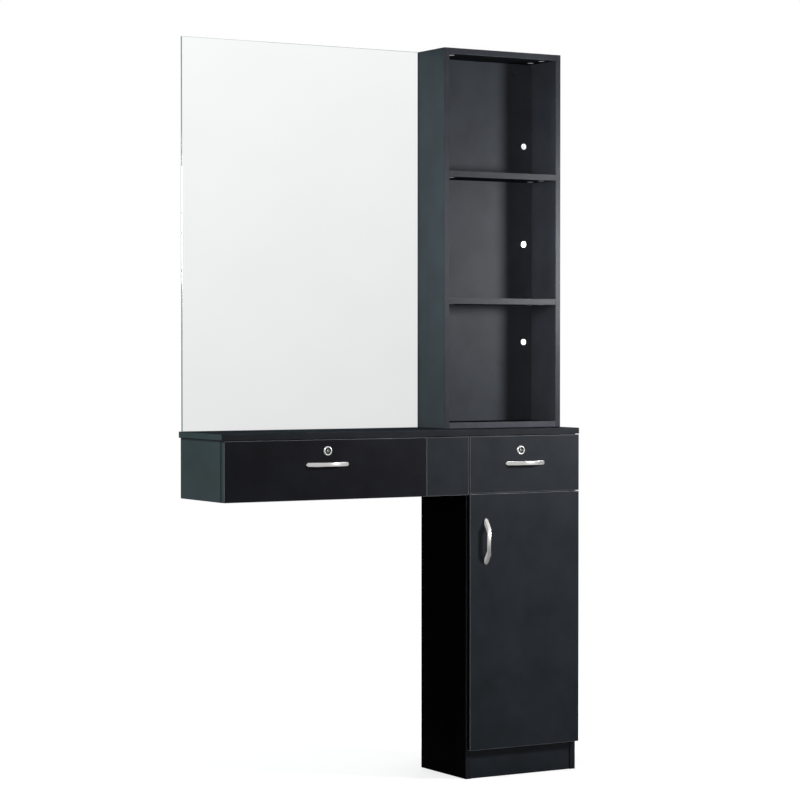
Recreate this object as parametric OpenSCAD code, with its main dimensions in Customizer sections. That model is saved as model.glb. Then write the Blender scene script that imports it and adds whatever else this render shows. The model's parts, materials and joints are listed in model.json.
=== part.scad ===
// Single-sided salon styling station: a wall-fixed counter with one lockable drawer, a cabinet with a
// lockable drawer and a door, an open shelf tower and a mirror. Millimetres, +Z up, wall at the +Y side.

/* [Overall] */
// Width of the counter top
counter_w = 1000; // [920:10:1200]
// Height of the counter's upper face above the floor
counter_z = 860; // [800:5:920]
// Depth from the wall to the face of the drawer fronts
body_d = 230; // [222:2:300]
// Height of the shelf tower and the mirror above the counter
tower_h = 940; // [840:10:1100]

/* [Boards] */
// Thickness of the carcass boards
board_t = 15; // [14:0.5:18]
// Thickness of the drawer fronts and the door
front_t = 15; // [14:0.5:18]
// Gap between the carcass front edges and the back of a front
front_gap = 2; // [1.5:0.5:4]
// Gap between two neighbouring fronts, and under the counter
reveal = 2; // [1.5:0.5:4]
// How far a front stops short of the outer face of the side that it covers
face_inset = 1; // [0.5:0.5:2]

/* [Desk unit] */
// Height from the desk's underside to the counter's upper face
desk_h = 160; // [150:2:200]
// How far the counter overhangs the desk's left side
side_overhang = 5; // [0:1:12]
// Clear width of the desk drawer's bay
desk_bay_w = 526.5; // [440:0.5:560]

/* [Cabinet] */
// Outer width of the cabinet
cabinet_w = 324; // [300:2:360]
// Height of the plinth
plinth_h = 70; // [50:2:120]
// How far the plinth is set back from the carcass front edges
plinth_set = 3; // [1:1:30]
// Clear height of the cabinet drawer's bay
drawer_bay_h = 135; // [125:1:180]
// Height of the inner shelf's underside above the cabinet's floor
inner_shelf_up = 290; // [120:5:480]
// Distance from the carcass front edges back to the inner shelf
inner_shelf_set = 20; // [15:1:60]
// Gap at each end of the inner shelf
inner_shelf_gap = 1; // [0.5:0.5:3]
// Thickness of the cabinet's back panel
back_t = 5; // [3:0.5:8]

/* [Shelf tower] */
// Outer width of the tower
tower_w = 345; // [300:5:380]
// Depth of the tower's side panels, measured from the wall
tower_d = 145; // [140:1:200]
// Depth of the tower's shelves
shelf_d = 110; // [100:1:115]
// Clear height under the lower shelf
lower_bay_h = 293.5; // [240:0.5:310]
// Clear height between the two shelves
middle_bay_h = 299; // [240:1:310]
// Height of the hanging rail behind the back panel
rail_h = 60; // [50:1:90]

/* [Mirror] */
// Gap between the mirror and the tower
mirror_gap = 1; // [1:1:15]
// Thickness of the mirror glass
glass_t = 5; // [4:0.5:6]
// Thickness of the board behind the glass
backing_t = 15; // [12:0.5:18]
// How far the backing board stays inside the left, right and top edges of the glass
backing_inset = 20; // [10:1:60]

/* [Drawer boxes] */
// Thickness of the drawer box boards
box_t = 12; // [11:0.5:14]
// Height of the drawer boxes
box_h = 88; // [80:1:90]
// Gap between the drawer boxes and the back of the desk unit
box_back_gap = 15; // [12:0.5:18]
// Clear height over the drawer boxes
box_headroom = 32; // [30:0.5:34]
// Thickness of the drawer bottoms
tray_t = 4; // [3:0.5:5]
// Height of a drawer bottom above the lower edge of its box
tray_up = 8; // [6:0.5:10]
// Depth of the grooves that hold a drawer bottom
groove_d = 6; // [4:0.5:7]
// Gap between a drawer bottom's edges and the ends of its grooves
tray_gap = 0.2; // [0.1:0.1:0.6]

/* [Drawer slides] */
// Height of the outer slide member
slide_h = 45; // [40:0.5:47]
// Width that a slide takes between the carcass and the drawer box
slide_w = 12.5; // [12:0.25:14]
// Thickness of the slide steel
slide_steel = 1.2; // [1:0.1:1.4]
// Running gap between two slide members
slide_run = 0.4; // [0.3:0.05:0.6]
// Distance from the carcass front edges back to the slides
slide_set = 3; // [2:0.5:6]
// Height of the slide's centre above the lower edge of the drawer box
slide_up = 35; // [30:1:45]

/* [Locks] */
// Distance of the desk lock's centre below the counter's underside
desk_lock_drop = 29; // [29:0.5:38]
// Distance of the cabinet lock's centre below the counter's underside
cabinet_lock_drop = 38; // [36:0.5:46]
// Distance of the cabinet lock's centre to the left of the middle of its front
cabinet_lock_aside = 13; // [0:1:20]
// Radius of the lock's visible collar
collar_r = 11; // [10.5:0.25:13]
// Thickness of the collar in front of the drawer front
collar_t = 3; // [2:0.25:4]
// Radius of the lock barrel
barrel_r = 9.5; // [9:0.25:10]
// Radius of the turning plug
plug_r = 5.5; // [5:0.1:6]
// Reach of the lock cam from the plug's centre
cam_reach = 24; // [22:0.5:25]
// Thickness of the lock cam and of its strike plate
latch_t = 2; // [1.5:0.25:2.5]
// Width of the strike plate
strike_w = 30; // [20:1:40]

/* [Pulls] */
// Overall length of a pull
pull_len = 116; // [110:1:130]
// Distance from a pull's end to its screw
pull_screw_set = 10; // [9.5:0.25:11]
// Width of a pull's bar
pull_w = 9; // [8:0.5:12]
// How far a pull stands out from the front
pull_proj = 18; // [16:1:26]
// Thickness of the pull's bar
bar_t = 5; // [4:0.5:7]
// Length of a pull's foot on the front
foot_len = 16; // [15:0.5:20]
// Lean of the pull's end, from foot to bar
pull_rake = 27; // [15:1:28]
// Distance of a drawer pull's centre below its lock
pull_drop = 32; // [28:1:40]
// Distance from the door's left edge to its pull
door_pull_in = 46; // [30:1:80]
// Distance from the door's top edge down to its pull's centre
door_pull_down = 117; // [80:1:200]

/* [Hinges] */
// Radius of the hinge cup
cup_r = 17.5; // [17:0.25:18]
// Depth of the hinge cup in the door
cup_d = 11.5; // [11:0.25:12]
// Distance from the door's edge to the cup's centre
cup_edge = 22; // [21.5:0.25:22.5]
// Distance from the door's ends to the hinges
hinge_end = 80; // [70:1:120]
// Radius of the hinge pin
hinge_pin_r = 2; // [1.5:0.1:2.2]

/* [Fasteners] */
// Radius of a cam lock
cam_r = 7.5; // [6.5:0.25:8]
// Depth of a cam lock in its board
cam_t = 12; // [11:0.25:12.5]
// Distance from a board's end to its cam lock's centre
cam_set = 24; // [22:0.5:30]
// Radius of the cam bolt's thread
thread_r = 2.5; // [2:0.1:3]
// Depth of the cam bolt's thread in the side panel
thread_d = 11; // [8:0.5:12]
// Distance from a board's front edge to its first cam lock
cam_front = 29; // [20:1:32]
// Distance between the first and the second cam lock of a shelf
cam_step = 50; // [40:1:55]
// Height of the back panel's lowest cam locks above the counter
back_cam_up = 215; // [150:5:240]
// Distance between the back panel's cam locks
back_cam_step = 250; // [220:5:255]
// Radius of a shelf pin
shelf_pin_r = 2.5; // [2:0.25:3]
// Radius of the screws through the counter into the tower
screw_r = 2.5; // [2:0.25:3]

/* [Wall fixings] */
// Radius of the wall fixing holes
wall_hole_r = 3; // [2.5:0.25:4]
// Distance between the tower's two wall fixing holes
tower_hole_step = 200; // [120:10:230]
// Horizontal distance between the desk's wall fixing holes
desk_hole_step = 400; // [240:10:440]
// Vertical distance between the desk's wall fixing holes
desk_hole_rise = 70; // [50:5:80]
// Radius of the hanging holes in the mirror's backing board
hang_hole_r = 4; // [3:0.25:5]
// Distance between the mirror's hanging holes
hang_hole_step = 400; // [200:10:450]
// Distance from the backing board's top edge down to the hanging holes
hang_hole_down = 80; // [50:5:200]

/* [Hidden] */
$fn = 48;

// Colours
black_board = [0.13, 0.14, 0.15];
box_board = [0.22, 0.22, 0.23];
silver = [0.78, 0.79, 0.8];
zinc = [0.62, 0.63, 0.65];
mirror_tint = [0.9, 0.92, 0.93];

// Extra length of a cut past the face that it opens
past = 1;
// Gap between a fastener and the hole that it passes through
hole_gap = 0.1;
// Gap between a turning pin or a thread and its bore
pin_gap = 0.05;

// Reference planes: the row's origin is under the middle of the bounding box
wall_y = (body_d + pull_proj) / 2;
face_y = wall_y - body_d;
front_back_y = face_y + front_t;
carcass_y = front_back_y + front_gap;
left_x = -counter_w / 2;
right_x = counter_w / 2;
counter_under = counter_z - board_t;
top_z = counter_z + tower_h;

// Desk unit
desk_out_x = left_x + side_overhang;
desk_in_x = desk_out_x + board_t;
divider_x = desk_in_x + desk_bay_w;
desk_low_z = counter_z - desk_h;
desk_floor_z = desk_low_z + board_t;
desk_back_y = wall_y - board_t;

// Cabinet
cab_out_x = right_x - cabinet_w;
cab_in_l = cab_out_x + board_t;
cab_in_r = right_x - board_t;
cab_floor_z = plinth_h + board_t;
bay_floor_z = counter_under - drawer_bay_h;
bay_under_z = bay_floor_z - board_t;
cab_back_y = wall_y - back_t;
inner_shelf_z = cab_floor_z + inner_shelf_up;

// Fronts: [left, right] and heights
front_top_z = counter_under - reveal;
split_x = divider_x + board_t / 2;
split_z = bay_floor_z - board_t / 2;
desk_face = [desk_out_x + face_inset, split_x - reveal / 2];
filler_face = [split_x + reveal / 2, cab_out_x - reveal];
cabinet_face = [cab_out_x + face_inset, right_x - face_inset];
door_top_z = split_z - reveal / 2;
door_low_z = plinth_h + reveal;

// Tower
tower_x = right_x - tower_w;
tower_in_l = tower_x + board_t;
tower_in_r = right_x - board_t;
tower_y = wall_y - tower_d;
tower_back_y = tower_y + shelf_d;
rail_y = tower_back_y + board_t;
tower_floor_z = counter_z + board_t;
lower_shelf_z = tower_floor_z + lower_bay_h;
upper_shelf_z = lower_shelf_z + board_t + middle_bay_h;
tower_roof_z = top_z - board_t;
rail_z = tower_roof_z - rail_h;

// Mirror
mirror_face = [left_x, tower_x - mirror_gap];
backing_y = wall_y - backing_t;
mirror_y = backing_y - glass_t;
hang_hole_d = 10;

// Drawer boxes: each bay is [left, right] between carcass faces
desk_bay = [desk_in_x, divider_x];
cabinet_bay = [cab_in_l, cab_in_r];
box_top_z = counter_under - box_headroom;
box_low_z = box_top_z - box_h;
box_back_y = desk_back_y - box_back_gap;
tray_z = box_low_z + tray_up;
front_groove_d = 5;

// Slides
slide_y = [carcass_y + slide_set, box_back_y];
slide_z = box_low_z + slide_up;
middle_u = slide_steel + slide_run;
inner_u = middle_u + slide_steel + slide_run;
outer_half = slide_h / 2;
middle_half = outer_half - slide_steel - slide_run;
inner_half = middle_half - slide_steel - slide_run;
outer_lip_u = slide_w - slide_steel - slide_run;

// Locks
desk_lock_x = mid(desk_face);
desk_lock_z = counter_under - desk_lock_drop;
cabinet_lock_x = mid(cabinet_face) - cabinet_lock_aside;
cabinet_lock_z = counter_under - cabinet_lock_drop;
plug_recess = 0.5;
nut_r = 13;
nut_t = 3;
strike_gap = 0.5;
strike_y = front_t + nut_t + strike_gap;
barrel_end = strike_y + latch_t;
latch_gap = 1;
latch_y = barrel_end + latch_gap;
latch_half = 5.5;
tail_side = 6;
rivet_r = 4.4;
rivet_t = 1;
strike_up = 16;
strike_foot = 18;
keyway_w = 1.8;
keyway_h = 7;
keyway_d = 8;

// Pulls
pull_half = pull_len / 2;
pull_screw_x = pull_half - pull_screw_set;
inner_half_len = pull_half - foot_len - pull_rake * (pull_proj - bar_t) / pull_proj;
pull_round_r = pull_w * 2 / 3;
pull_tip = pull_w / 2;
pull_screw_r = 2;
pull_screw_in = 4;
pull_head_r = 4;
pull_head_t = 2.5;
door_pull_x = cabinet_face[0] + door_pull_in;
door_pull_z = door_top_z - door_pull_down;

// Hinges, in plan from the cabinet's right front corner at [right_x, face_y]
hinge_z = [door_low_z + hinge_end, door_top_z - hinge_end];
cup_wall = 1;
cup_x = -face_inset - cup_edge;
flange_t = 1;
flange_r = cup_r + 1.5;
flange_half = [12, 31];
hinge_pin_set = [5, 1];
hinge_pin = [-board_t - hinge_pin_set[0], front_t + hinge_pin_set[1]];
link_gap = 0.3;
link_end_r = 2;
link_reach = 12;
link_end = [cup_x - link_reach, front_t - cup_d + cup_wall + link_gap + link_end_r];
link_vec = link_end - hinge_pin;
link_len = norm(link_vec);
link_turn = atan2(link_vec[1], link_vec[0]);
link_half = 1.6;
link_eye_r = 3.2;
link_half_z = 5;
ear_r = 3;
ear_gap = 0.2;
ear_z = link_half_z + ear_gap;
ear_t = 2;
plate_t = 2;
arm_t = 12;
arm_set = 5;
arm_len = 53;
plate_set = 27;
plate_len = 20;
arm_front = carcass_y - face_y + arm_set;
plate_front = carcass_y - face_y + plate_set;
arm_y = [arm_front, arm_front + arm_len];
plate_y = [plate_front, plate_front + plate_len];
plate_half_z = 25;

// Cam locks: a place is [corner point, rotation]; X runs into the board, Z out of the cam's face
face_down_left = [180, 0, 0];
face_down_right = [0, 180, 0];
face_front_left = [90, 0, 0];
face_front_right = [90, 180, 0];
panel_face_right = [0, 90, 0];
panel_face_left = [180, 90, 0];
bolt_z = -board_t / 2;
bolt_head_r = 3;
bolt_neck_r = 1.75;
collar_len = 1.5;
cam_rim = 1.2;
cam_dish = 0.4;
cross_half = [4.5, 0.7];
cross_d = 2.5;

// Distances of the first cams from the carcass front edges and of the last ones from the wall
base_cam_set = [40, 45];
desk_cam_set = [62, 67];
upright_cam_set = [50, 57];

tower_cam_y = [tower_y + cam_front, tower_y + cam_front + cam_step];
back_cam_z = [for (i = [0 : 2]) counter_z + back_cam_up + i * back_cam_step];
base_cam_y = [carcass_y + base_cam_set[0], wall_y - base_cam_set[1]];
desk_cam_y = [carcass_y + desk_cam_set[0], wall_y - desk_cam_set[1]];
upright_cam_y = [carcass_y + upright_cam_set[0], wall_y - upright_cam_set[1]];

// Places of the face-down cams along both ends of a board between faces l and r, underside at z
function board_cams(l, r, ys, z) = [
    for (y = ys) each [
        [[l, y, z], face_down_left],
        [[r, y, z], face_down_right]
    ]
];

top_cams = board_cams(tower_in_l, tower_in_r, tower_cam_y, tower_roof_z);
upper_shelf_cams = board_cams(tower_in_l, tower_in_r, tower_cam_y, upper_shelf_z);
lower_shelf_cams = board_cams(tower_in_l, tower_in_r, tower_cam_y, lower_shelf_z);
bottom_cams = board_cams(tower_in_l, tower_in_r, tower_cam_y, counter_z);
back_cams = [
    for (z = back_cam_z) each [
        [[tower_in_l, tower_back_y, z], face_front_left],
        [[tower_in_r, tower_back_y, z], face_front_right]
    ]
];
cabinet_bottom_cams = board_cams(cab_in_l, cab_in_r, base_cam_y, plinth_h);
divider_cams = board_cams(cab_in_l, cab_in_r, base_cam_y, bay_under_z);
desk_bottom_cams = board_cams(desk_in_x, cab_out_x, desk_cam_y, desk_low_z);
desk_side_cams = [for (y = upright_cam_y) [[desk_in_x, y, counter_under], panel_face_right]];
desk_divider_cams = [for (y = upright_cam_y) [[divider_x, y, counter_under], panel_face_left]];
cabinet_left_cams = [for (y = upright_cam_y) [[cab_in_l, y, counter_under], panel_face_right]];
cabinet_right_cams = [for (y = upright_cam_y) [[cab_in_r, y, counter_under], panel_face_left]];
tower_side_cams = concat(top_cams, upper_shelf_cams, lower_shelf_cams, bottom_cams, back_cams);
upright_cams = concat(desk_side_cams, desk_divider_cams, cabinet_left_cams, cabinet_right_cams);
all_cams = concat(tower_side_cams, cabinet_bottom_cams, divider_cams, desk_bottom_cams, upright_cams);

// Shelf pins, tower screws and wall fixings
shelf_pin_set = [45, 43];
shelf_pin_y = [carcass_y + shelf_pin_set[0], wall_y - shelf_pin_set[1]];
shelf_pin_in = 8;
shelf_lug = 8;
shelf_lug_rim = 1;
shelf_lug_r = shelf_pin_r + shelf_lug_rim;
shelf_flat = 2;
shelf_pin_z = inner_shelf_z - shelf_flat;
tower_screw_side = 50;
tower_screw_set = [30, 5];
tower_screw_x = [tower_in_l + tower_screw_side, tower_in_r - tower_screw_side];
tower_screw_y = [tower_y + tower_screw_set[0], tower_back_y - tower_screw_set[1]];
tower_screw_in = 12;
screw_head_r = screw_r * 1.8;
screw_head_t = 2.5;
tower_hole_z = rail_z + rail_h / 2;
desk_hole_z = (desk_floor_z + counter_under) / 2;
desk_hole_x = (desk_in_x + cab_out_x) / 2;

function mid(p) = (p[0] + p[1]) / 2;

// A board between the values of x, y and z
module block(x, y, z) {
    translate([x[0], y[0], z[0]]) cube([x[1] - x[0], y[1] - y[0], z[1] - z[0]]);
}

// A round bar along Y
module rod_y(x, z, y, r) {
    translate([x, y[0], z]) rotate([-90, 0, 0]) cylinder(h = y[1] - y[0], r = r);
}

// A round bar along X
module rod_x(y, z, x, r) {
    translate([x[0], y, z]) rotate([0, 90, 0]) cylinder(h = x[1] - x[0], r = r);
}

module at_places(places) {
    for (p = places) translate(p[0]) rotate(p[1]) children();
}

// Bore for the cam and passage for its bolt, cut from the board
module cam_bores(places) {
    at_places(places) {
        translate([cam_set, 0, -cam_t]) cylinder(h = cam_t + past, r = cam_r + hole_gap);
        translate([-past, 0, bolt_z]) rotate([0, 90, 0]) cylinder(h = cam_set + past, r = bolt_head_r + hole_gap);
    }
}

// Bore for the bolt's thread, cut from the panel that the board meets
module thread_bores(places) {
    at_places(places) translate([-thread_d, 0, bolt_z]) rotate([0, 90, 0])
        cylinder(h = thread_d + past, r = thread_r + pin_gap);
}

module cam_lock() {
    difference() {
        translate([cam_set, 0, -cam_t]) cylinder(h = cam_t, r = cam_r);
        translate([cam_set, 0, -cam_dish]) cylinder(h = cam_dish + past, r = cam_r - cam_rim);
        for (a = [0, 90]) translate([cam_set, 0, 0]) rotate([0, 0, a])
            block([-cross_half[0], cross_half[0]], [-cross_half[1], cross_half[1]], [-cross_d, past]);
        translate([cam_set - cam_r - past, 0, bolt_z]) rotate([0, 90, 0])
            cylinder(h = cam_r + past, r = bolt_head_r + hole_gap);
    }
}

// Thread, collar against the panel, neck, and the head that the cam draws in
module cam_bolt() {
    translate([0, 0, bolt_z]) rotate([0, 90, 0]) {
        translate([0, 0, -thread_d]) cylinder(h = thread_d, r = thread_r);
        cylinder(h = collar_len, r = bolt_head_r);
        cylinder(h = cam_set, r = bolt_neck_r);
        translate([0, 0, cam_set - bolt_head_r]) cylinder(h = bolt_head_r, r = bolt_head_r);
    }
}

module cam_locks() {
    color(silver) at_places(all_cams) cam_lock();
}

module cam_bolts() {
    color(zinc) at_places(all_cams) cam_bolt();
}

// Shelf tower
module tower_left_side() {
    color(black_board) difference() {
        block([tower_x, tower_in_l], [tower_y, wall_y], [counter_z, top_z]);
        thread_bores(tower_side_cams);
    }
}

module tower_right_side() {
    color(black_board) difference() {
        block([tower_in_r, right_x], [tower_y, wall_y], [counter_z, top_z]);
        thread_bores(tower_side_cams);
    }
}

module tower_top() {
    color(black_board) difference() {
        block([tower_in_l, tower_in_r], [tower_y, wall_y], [tower_roof_z, top_z]);
        cam_bores(top_cams);
    }
}

module tower_shelf(z, cams) {
    color(black_board) difference() {
        block([tower_in_l, tower_in_r], [tower_y, tower_back_y], [z, z + board_t]);
        cam_bores(cams);
    }
}

module tower_upper_shelf() {
    tower_shelf(upper_shelf_z, upper_shelf_cams);
}

module tower_lower_shelf() {
    tower_shelf(lower_shelf_z, lower_shelf_cams);
}

module tower_bottom() {
    color(black_board) difference() {
        block([tower_in_l, tower_in_r], [tower_y, wall_y], [counter_z, tower_floor_z]);
        cam_bores(bottom_cams);
        tower_screw_holes();
    }
}

module tower_wall_holes() {
    for (s = [-1, 1]) {
        x = (tower_in_l + tower_in_r + s * tower_hole_step) / 2;
        rod_y(x, tower_hole_z, [tower_back_y - past, wall_y + past], wall_hole_r);
    }
}

module tower_back() {
    color(black_board) difference() {
        block([tower_in_l, tower_in_r], [tower_back_y, rail_y], [tower_floor_z, tower_roof_z]);
        cam_bores(back_cams);
        tower_wall_holes();
    }
}

module tower_rail() {
    color(black_board) difference() {
        block([tower_in_l, tower_in_r], [rail_y, wall_y], [rail_z, tower_roof_z]);
        tower_wall_holes();
    }
}

// Mirror
module mirror_glass() {
    color(mirror_tint) block(mirror_face, [mirror_y, backing_y], [counter_z, top_z]);
}

module mirror_backing() {
    color(box_board) difference() {
        block([mirror_face[0] + backing_inset, mirror_face[1] - backing_inset], [backing_y, wall_y],
            [counter_z, top_z - backing_inset]);
        for (s = [-1, 1]) rod_y(mid(mirror_face) + s * hang_hole_step / 2,
            top_z - backing_inset - hang_hole_down, [wall_y - hang_hole_d, wall_y + past], hang_hole_r);
    }
}

// Counter
module counter_top() {
    color(black_board) difference() {
        block([left_x, right_x], [face_y, wall_y], [counter_under, counter_z]);
        thread_bores(upright_cams);
        tower_screw_holes();
    }
}

module at_tower_screws() {
    for (x = tower_screw_x, y = tower_screw_y) translate([x, y, counter_under]) children();
}

module tower_screw_holes() {
    at_tower_screws() {
        translate([0, 0, -past]) cylinder(h = board_t + tower_screw_in + past, r = screw_r + pin_gap);
        translate([0, 0, -past]) cylinder(h = screw_head_t + past, r = screw_head_r + hole_gap);
    }
}

module tower_screws() {
    color(zinc) at_tower_screws() {
        cylinder(h = board_t + tower_screw_in, r = screw_r);
        cylinder(h = screw_head_t, r = screw_head_r);
    }
}

// Desk unit
module desk_left_side() {
    color(black_board) difference() {
        block([desk_out_x, desk_in_x], [carcass_y, wall_y], [desk_low_z, counter_under]);
        cam_bores(desk_side_cams);
        thread_bores(desk_bottom_cams);
    }
}

module desk_divider() {
    color(black_board) difference() {
        block([divider_x, divider_x + board_t], [carcass_y, desk_back_y], [desk_floor_z, counter_under]);
        cam_bores(desk_divider_cams);
    }
}

module desk_bottom() {
    color(black_board) difference() {
        block([desk_in_x, cab_out_x], [carcass_y, wall_y], [desk_low_z, desk_floor_z]);
        cam_bores(desk_bottom_cams);
    }
}

module desk_back() {
    color(black_board) difference() {
        block([desk_in_x, cab_out_x], [desk_back_y, wall_y], [desk_floor_z, counter_under]);
        for (i = [-1, 1], k = [-1, 1]) rod_y(desk_hole_x + i * desk_hole_step / 2,
            desk_hole_z + k * desk_hole_rise / 2, [desk_back_y - past, wall_y + past], wall_hole_r);
    }
}

module filler_panel() {
    color(black_board) block(filler_face, [carcass_y - front_t, carcass_y], [desk_low_z, front_top_z]);
}

// Cabinet
module cabinet_side(x, cams) {
    color(black_board) difference() {
        block(x, [carcass_y, wall_y], [0, counter_under]);
        cam_bores(cams);
        thread_bores(concat(cabinet_bottom_cams, divider_cams));
        for (y = shelf_pin_y) rod_x(y, shelf_pin_z,
            [cab_in_l - shelf_pin_in, cab_in_r + shelf_pin_in], shelf_pin_r + pin_gap);
    }
}

module cabinet_left_side() {
    difference() {
        cabinet_side([cab_out_x, cab_in_l], cabinet_left_cams);
        color(black_board) thread_bores(desk_bottom_cams);
    }
}

module cabinet_right_side() {
    cabinet_side([cab_in_r, right_x], cabinet_right_cams);
}

module cabinet_bottom() {
    color(black_board) difference() {
        block([cab_in_l, cab_in_r], [carcass_y, cab_back_y], [plinth_h, cab_floor_z]);
        cam_bores(cabinet_bottom_cams);
    }
}

module drawer_divider() {
    color(black_board) difference() {
        block([cab_in_l, cab_in_r], [carcass_y, cab_back_y], [bay_under_z, bay_floor_z]);
        cam_bores(divider_cams);
    }
}

module cabinet_back() {
    color(black_board) block([cab_in_l, cab_in_r], [cab_back_y, wall_y], [plinth_h, counter_under]);
}

module cabinet_shelf() {
    color(black_board) block([cab_in_l + inner_shelf_gap, cab_in_r - inner_shelf_gap],
        [carcass_y + inner_shelf_set, cab_back_y - inner_shelf_gap], [inner_shelf_z, inner_shelf_z + board_t]);
}

// A pin in its hole, with a lug whose flat top carries the shelf
module shelf_pin() {
    difference() {
        union() {
            rod_x(0, 0, [-shelf_pin_in, shelf_lug], shelf_pin_r);
            rod_x(0, 0, [0, shelf_lug], shelf_lug_r);
        }
        block([0, shelf_lug + past], [-shelf_lug_r - past, shelf_lug_r + past], [shelf_flat, shelf_lug_r + past]);
    }
}

module shelf_pins() {
    color(silver) for (y = shelf_pin_y) {
        translate([cab_in_l, y, shelf_pin_z]) shelf_pin();
        translate([cab_in_r, y, shelf_pin_z]) mirror([1, 0, 0]) shelf_pin();
    }
}

module plinth() {
    color(black_board) block([cab_in_l, cab_in_r],
        [carcass_y + plinth_set, carcass_y + plinth_set + board_t], [0, plinth_h]);
}

// Drawer slides: u runs from the carcass face towards the drawer box
module slide_pair(bay) {
    translate([bay[0], 0, slide_z]) children();
    translate([bay[1], 0, slide_z]) mirror([1, 0, 0]) children();
}

// A channel whose web is at its first value of u, or at its last where web_last is true
module channel(u, half, web_last) {
    hollow = web_last ? [u[0] - past, u[1] - slide_steel] : [u[0] + slide_steel, u[1] + past];
    difference() {
        block(u, slide_y, [-half, half]);
        block(hollow, [slide_y[0] - past, slide_y[1] + past], [slide_steel - half, half - slide_steel]);
    }
}

module slide_outer(bay) {
    color(zinc) slide_pair(bay) channel([0, outer_lip_u], outer_half, false);
}

module slide_middle(bay) {
    color(zinc) slide_pair(bay) channel([middle_u, outer_lip_u], middle_half, false);
}

module slide_inner(bay) {
    color(zinc) slide_pair(bay) channel([inner_u, slide_w], inner_half, true);
}

module desk_slide_outer() {
    slide_outer(desk_bay);
}

module desk_slide_middle() {
    slide_middle(desk_bay);
}

module desk_slide_inner() {
    slide_inner(desk_bay);
}

module cabinet_slide_outer() {
    slide_outer(cabinet_bay);
}

module cabinet_slide_middle() {
    slide_middle(cabinet_bay);
}

module cabinet_slide_inner() {
    slide_inner(cabinet_bay);
}

// Drawers
// The drawer bottom, or with a gap of 0 the space of the grooves that hold it
module tray(bay, gap) {
    reach = slide_w + box_t - groove_d + gap;
    block([bay[0] + reach, bay[1] - reach], [front_back_y - front_groove_d + gap, box_back_y],
        [tray_z, tray_z + tray_t]);
}

module pull_holes(x, z) {
    for (s = [-1, 1]) rod_y(x + s * pull_screw_x, z,
        [face_y - past, front_back_y + past], pull_screw_r + hole_gap);
}

module drawer_front(face, low_z, lock_x, lock_z, bay) {
    color(black_board) difference() {
        block(face, [face_y, front_back_y], [low_z, front_top_z]);
        rod_y(lock_x, lock_z, [face_y - past, front_back_y + past], barrel_r + hole_gap);
        pull_holes(mid(face), lock_z - pull_drop);
        tray(bay, 0);
    }
}

module box_side(x, bay) {
    color(box_board) difference() {
        block(x, [front_back_y, box_back_y], [box_low_z, box_top_z]);
        tray(bay, 0);
        translate([0, past, 0]) tray(bay, 0);
    }
}

module box_left_side(bay) {
    box_side([bay[0] + slide_w, bay[0] + slide_w + box_t], bay);
}

module box_right_side(bay) {
    box_side([bay[1] - slide_w - box_t, bay[1] - slide_w], bay);
}

module box_back(bay) {
    color(box_board) block([bay[0] + slide_w + box_t, bay[1] - slide_w - box_t],
        [box_back_y - box_t, box_back_y], [tray_z + tray_t, box_top_z]);
}

module desk_drawer_front() {
    drawer_front(desk_face, desk_low_z, desk_lock_x, desk_lock_z, desk_bay);
}

module desk_drawer_left_side() {
    box_left_side(desk_bay);
}

module desk_drawer_right_side() {
    box_right_side(desk_bay);
}

module desk_drawer_back() {
    box_back(desk_bay);
}

module desk_drawer_bottom() {
    color(box_board) tray(desk_bay, tray_gap);
}

module cabinet_drawer_front() {
    drawer_front(cabinet_face, split_z + reveal / 2, cabinet_lock_x, cabinet_lock_z, cabinet_bay);
}

module cabinet_drawer_left_side() {
    box_left_side(cabinet_bay);
}

module cabinet_drawer_right_side() {
    box_right_side(cabinet_bay);
}

module cabinet_drawer_back() {
    box_back(cabinet_bay);
}

module cabinet_drawer_bottom() {
    color(box_board) tray(cabinet_bay, tray_gap);
}

// Pulls: the bar runs along X and stands out towards -Y
module pull_bow() {
    translate([0, 0, -pull_w / 2]) linear_extrude(pull_w) polygon([
        [-pull_half, 0], [pull_rake - pull_half, -pull_proj], [pull_half - pull_rake, -pull_proj],
        [pull_half, 0], [pull_half - foot_len, 0], [inner_half_len, bar_t - pull_proj],
        [-inner_half_len, bar_t - pull_proj], [foot_len - pull_half, 0]
    ]);
}

// The section across the bar: flat sides and a rounded front
module pull_section() {
    centre = pull_round_r - pull_proj;
    rotate([90, 0, 90]) translate([0, 0, -pull_half]) linear_extrude(pull_len) intersection() {
        translate([-pull_proj, -pull_w / 2]) square([pull_proj, pull_w]);
        union() {
            translate([centre, 0]) circle(pull_round_r);
            translate([centre, -pull_round_r]) square([-centre, 2 * pull_round_r]);
        }
    }
}

// The outline seen from the front, with pointed ends
module pull_outline() {
    rotate([90, 0, 0]) linear_extrude(pull_proj) polygon([
        [-pull_half, 0], [pull_tip - pull_half, pull_w / 2], [pull_half - pull_tip, pull_w / 2],
        [pull_half, 0], [pull_half - pull_tip, -pull_w / 2], [pull_tip - pull_half, -pull_w / 2]
    ]);
}

module pull() {
    color(silver) difference() {
        intersection() {
            pull_bow();
            pull_section();
            pull_outline();
        }
        for (s = [-1, 1]) rod_y(s * pull_screw_x, 0, [-pull_screw_in - past / 2, past], pull_screw_r + pin_gap);
    }
}

// Screws from behind the front, with their heads against its back
module pull_screws() {
    color(zinc) for (s = [-1, 1]) {
        rod_y(s * pull_screw_x, 0, [-pull_screw_in, front_t + pull_head_t], pull_screw_r);
        rod_y(s * pull_screw_x, 0, [front_t, front_t + pull_head_t], pull_head_r);
    }
}

module at_desk_pull() {
    translate([mid(desk_face), face_y, desk_lock_z - pull_drop]) children();
}

module at_cabinet_pull() {
    translate([mid(cabinet_face), face_y, cabinet_lock_z - pull_drop]) children();
}

module at_door_pull() {
    translate([door_pull_x, face_y, door_pull_z]) rotate([0, 90, 0]) children();
}

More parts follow.
